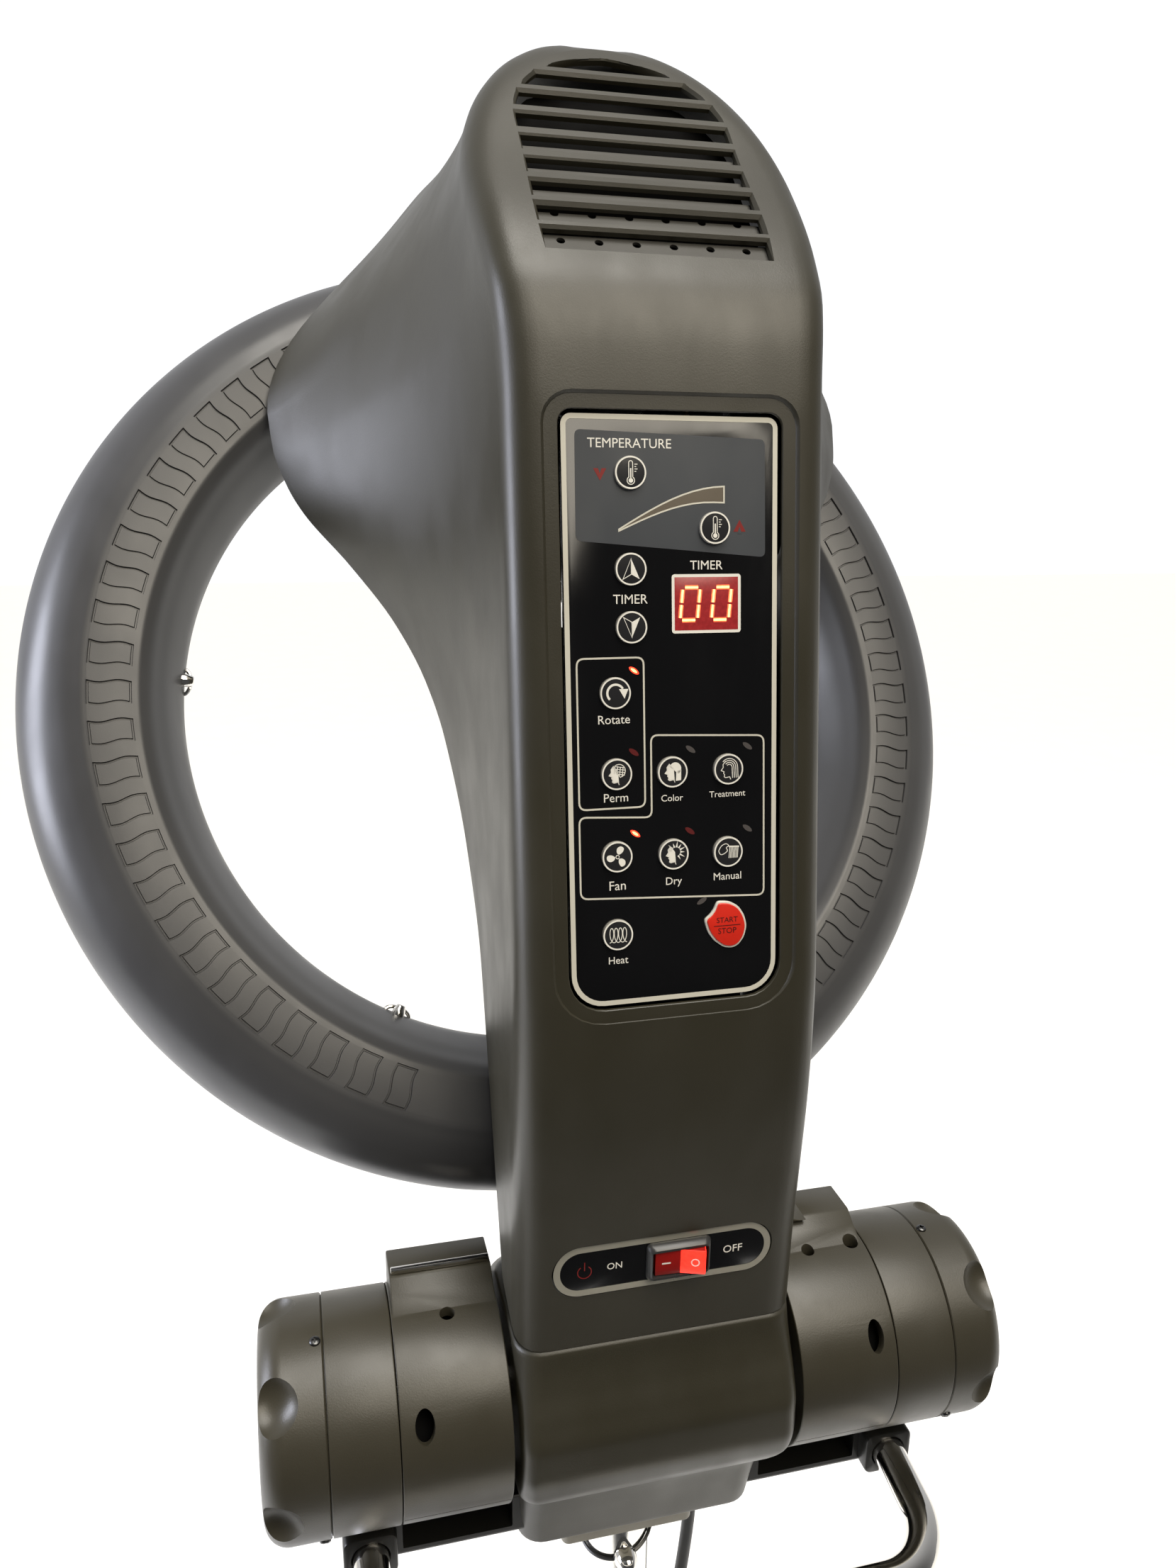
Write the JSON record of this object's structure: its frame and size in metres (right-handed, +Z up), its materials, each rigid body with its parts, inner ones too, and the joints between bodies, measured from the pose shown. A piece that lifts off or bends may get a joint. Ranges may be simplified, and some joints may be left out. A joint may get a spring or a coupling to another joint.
{
  "type": "hood hair dryer",
  "caption": "Standing salon hair processor: a tilting head with key panel and fan, a ring heater that orbits behind it, a push handle, a sliding mast and a star base on casters.",
  "frame": {"origin": "on the floor, under the middle of the box of everything but the mains lead", "axes": "+Z up; the operator stands at -Y facing the key panel, the client sits at +Y; +X to the operator's right"},
  "size_m": [0.5914, 0.5624, 1.5395],
  "materials": {
    "housing": "fine-grained satin, dark warm grey",
    "ring_grey": "satin grey",
    "black_plastic": "satin",
    "panel_gloss": "polished black film",
    "keys": "black with a silver ring",
    "red_keys": "smooth red",
    "window": "dark red filter",
    "board": "solder mask",
    "painted_black": "satin powder coat",
    "chrome": "polished",
    "beige": "satin",
    "steel": "bright zinc",
    "gear_motor": "cast",
    "heater_wire": "oxidised",
    "quartz": "milky",
    "tread": "matt"
  },
  "bodies": {
    "stand": {"outer_tube": "painted_black", "star_base": "painted_black", "mains_lead": "black_plastic", "lead_coil": "black_plastic", "plug": "black_plastic"},
    "lift": {"upper_pole": "chrome", "pole_bolt": "chrome", "pole_collar": "beige", "lower_cover": "housing", "hinge_shaft": "steel", "bearing_ring_left": "housing", "bearing_ring_right": "housing", "bracket": "painted_black", "push_handle": "chrome", "strain_relief": "black_plastic"},
    "head": {"head_shell": "housing", "rear_cover": "black_plastic", "head_frame": "steel", "orbit_gearmotor": "gear_motor", "fan_motor": "steel", "heater_coil": "heater_wire", "control_panel": "panel_gloss", "display_window": "window", "control_board": "board", "switch_plate": "panel_gloss", "drum_sleeve_left": "housing", "drum_sleeve_right": "housing"},
    "halo": {"orbit_hub": "black_plastic", "ring_arm": "black_plastic", "ring_back_shell": "housing", "quartz_tube": "quartz", "ring_guard": "ring_grey"},
    "fan": {"fan_rotor": "black_plastic"},
    "rocker": {"power_rocker": "red_keys"},
    "knob_left": {"tension_knob_left": "housing"},
    "knob_right": {"tension_knob_right": "housing"},
    "clamp": {"clamp_knob": "black_plastic"},
    "temperature_down_key": {"temperature_down_key": "keys"},
    "temperature_up_key": {"temperature_up_key": "keys"},
    "timer_up_key": {"timer_up_key": "keys"},
    "timer_down_key": {"timer_down_key": "keys"},
    "rotate_key": {"rotate_key": "keys"},
    "perm_key": {"perm_key": "keys"},
    "color_key": {"color_key": "keys"},
    "treatment_key": {"treatment_key": "keys"},
    "fan_key": {"fan_key": "keys"},
    "dry_key": {"dry_key": "keys"},
    "manual_key": {"manual_key": "keys"},
    "heat_key": {"heat_key": "keys"},
    "start_stop_key": {"start_stop_key": "red_keys"},
    "fork_1": {"caster_fork_1": "black_plastic"},
    "wheel_1": {"caster_wheel_1": "tread"},
    "fork_2": {"caster_fork_2": "black_plastic"},
    "wheel_2": {"caster_wheel_2": "tread"},
    "fork_3": {"caster_fork_3": "black_plastic"},
    "wheel_3": {"caster_wheel_3": "tread"},
    "fork_4": {"caster_fork_4": "black_plastic"},
    "wheel_4": {"caster_wheel_4": "tread"},
    "fork_5": {"caster_fork_5": "black_plastic"},
    "wheel_5": {"caster_wheel_5": "tread"}
  },
  "joints": [
    {"name": "height", "type": "slide", "parent": "stand", "child": "lift", "axis": [0, 0, 1], "range_m": [0, 0.2]},
    {"name": "head_tilt", "type": "hinge", "parent": "lift", "child": "head", "pos_m": [0, -0.0448, 0.93], "axis": [-1, 0, 0], "range_deg": [0, 50]},
    {"name": "halo_orbit", "type": "hinge", "parent": "head", "child": "halo", "pos_m": [0, 0.12035, 1.37939], "axis": [-0.0785, 0.9042, -0.4197], "continuous": true},
    {"name": "fan_spin", "type": "hinge", "parent": "head", "child": "fan", "pos_m": [0, 0.12035, 1.37939], "axis": [0, 0.907, -0.421], "continuous": true},
    {"name": "power_switch", "type": "hinge", "parent": "head", "child": "rocker", "pos_m": [0.0065, -0.087, 1.019], "axis": [0, 0, 1], "range_deg": [0, 10]},
    {"name": "tension_left", "type": "hinge", "parent": "lift", "child": "knob_left", "pos_m": [0, -0.0448, 0.93], "axis": [-1, 0, 0], "continuous": true},
    {"name": "tension_right", "type": "hinge", "parent": "lift", "child": "knob_right", "pos_m": [0, -0.0448, 0.93], "axis": [1, 0, 0], "continuous": true},
    {"name": "height_clamp", "type": "hinge", "parent": "stand", "child": "clamp", "pos_m": [0, -0.0248, 0.537], "axis": [0, 1, 0], "continuous": true},
    {"name": "temperature_down_key_press", "type": "slide", "parent": "head", "child": "temperature_down_key", "axis": [0, 0.9903, -0.1392], "range_m": [0, 0.0005], "stiffness_N_per_m": 800, "springref_m": -0.0005},
    {"name": "temperature_up_key_press", "type": "slide", "parent": "head", "child": "temperature_up_key", "axis": [0, 0.9903, -0.1392], "range_m": [0, 0.0005], "stiffness_N_per_m": 800, "springref_m": -0.0005},
    {"name": "timer_up_key_press", "type": "slide", "parent": "head", "child": "timer_up_key", "axis": [0, 0.9903, -0.1392], "range_m": [0, 0.0005], "stiffness_N_per_m": 800, "springref_m": -0.0005},
    {"name": "timer_down_key_press", "type": "slide", "parent": "head", "child": "timer_down_key", "axis": [0, 0.9903, -0.1392], "range_m": [0, 0.0005], "stiffness_N_per_m": 800, "springref_m": -0.0005},
    {"name": "rotate_key_press", "type": "slide", "parent": "head", "child": "rotate_key", "axis": [0, 0.9903, -0.1392], "range_m": [0, 0.0005], "stiffness_N_per_m": 800, "springref_m": -0.0005},
    {"name": "perm_key_press", "type": "slide", "parent": "head", "child": "perm_key", "axis": [0, 0.9903, -0.1392], "range_m": [0, 0.0005], "stiffness_N_per_m": 800, "springref_m": -0.0005},
    {"name": "color_key_press", "type": "slide", "parent": "head", "child": "color_key", "axis": [0, 0.9903, -0.1392], "range_m": [0, 0.0005], "stiffness_N_per_m": 800, "springref_m": -0.0005},
    {"name": "treatment_key_press", "type": "slide", "parent": "head", "child": "treatment_key", "axis": [0, 0.9903, -0.1392], "range_m": [0, 0.0005], "stiffness_N_per_m": 800, "springref_m": -0.0005},
    {"name": "fan_key_press", "type": "slide", "parent": "head", "child": "fan_key", "axis": [0, 0.9903, -0.1392], "range_m": [0, 0.0005], "stiffness_N_per_m": 800, "springref_m": -0.0005},
    {"name": "dry_key_press", "type": "slide", "parent": "head", "child": "dry_key", "axis": [0, 0.9903, -0.1392], "range_m": [0, 0.0005], "stiffness_N_per_m": 800, "springref_m": -0.0005},
    {"name": "manual_key_press", "type": "slide", "parent": "head", "child": "manual_key", "axis": [0, 0.9903, -0.1392], "range_m": [0, 0.0005], "stiffness_N_per_m": 800, "springref_m": -0.0005},
    {"name": "heat_key_press", "type": "slide", "parent": "head", "child": "heat_key", "axis": [0, 0.9903, -0.1392], "range_m": [0, 0.0005], "stiffness_N_per_m": 800, "springref_m": -0.0005},
    {"name": "start_stop_key_press", "type": "slide", "parent": "head", "child": "start_stop_key", "axis": [0, 0.9903, -0.1392], "range_m": [0, 0.0005], "stiffness_N_per_m": 800, "springref_m": -0.0005},
    {"name": "swivel_1", "type": "hinge", "parent": "stand", "child": "fork_1", "pos_m": [0, 0.2652, 0], "axis": [0, 0, 1], "continuous": true},
    {"name": "roll_1", "type": "hinge", "parent": "fork_1", "child": "wheel_1", "pos_m": [0, 0.2472, 0.025], "axis": [-1, 0, 0], "continuous": true},
    {"name": "swivel_2", "type": "hinge", "parent": "stand", "child": "fork_2", "pos_m": [-0.27581, 0.06481, 0], "axis": [0, 0, 1], "continuous": true},
    {"name": "roll_2", "type": "hinge", "parent": "fork_2", "child": "wheel_2", "pos_m": [-0.25869, 0.05925, 0.025], "axis": [-0.309, -0.9511, 0], "continuous": true},
    {"name": "swivel_3", "type": "hinge", "parent": "stand", "child": "fork_3", "pos_m": [-0.17046, -0.25941, 0], "axis": [0, 0, 1], "continuous": true},
    {"name": "roll_3", "type": "hinge", "parent": "fork_3", "child": "wheel_3", "pos_m": [-0.15988, -0.24485, 0.025], "axis": [0.809, -0.5878, 0], "continuous": true},
    {"name": "swivel_4", "type": "hinge", "parent": "stand", "child": "fork_4", "pos_m": [0.17046, -0.25941, 0], "axis": [0, 0, 1], "continuous": true},
    {"name": "roll_4", "type": "hinge", "parent": "fork_4", "child": "wheel_4", "pos_m": [0.15988, -0.24485, 0.025], "axis": [0.809, 0.5878, 0], "continuous": true},
    {"name": "swivel_5", "type": "hinge", "parent": "stand", "child": "fork_5", "pos_m": [0.27581, 0.06481, 0], "axis": [0, 0, 1], "continuous": true},
    {"name": "roll_5", "type": "hinge", "parent": "fork_5", "child": "wheel_5", "pos_m": [0.25869, 0.05925, 0.025], "axis": [-0.309, 0.9511, 0], "continuous": true}
  ]
}
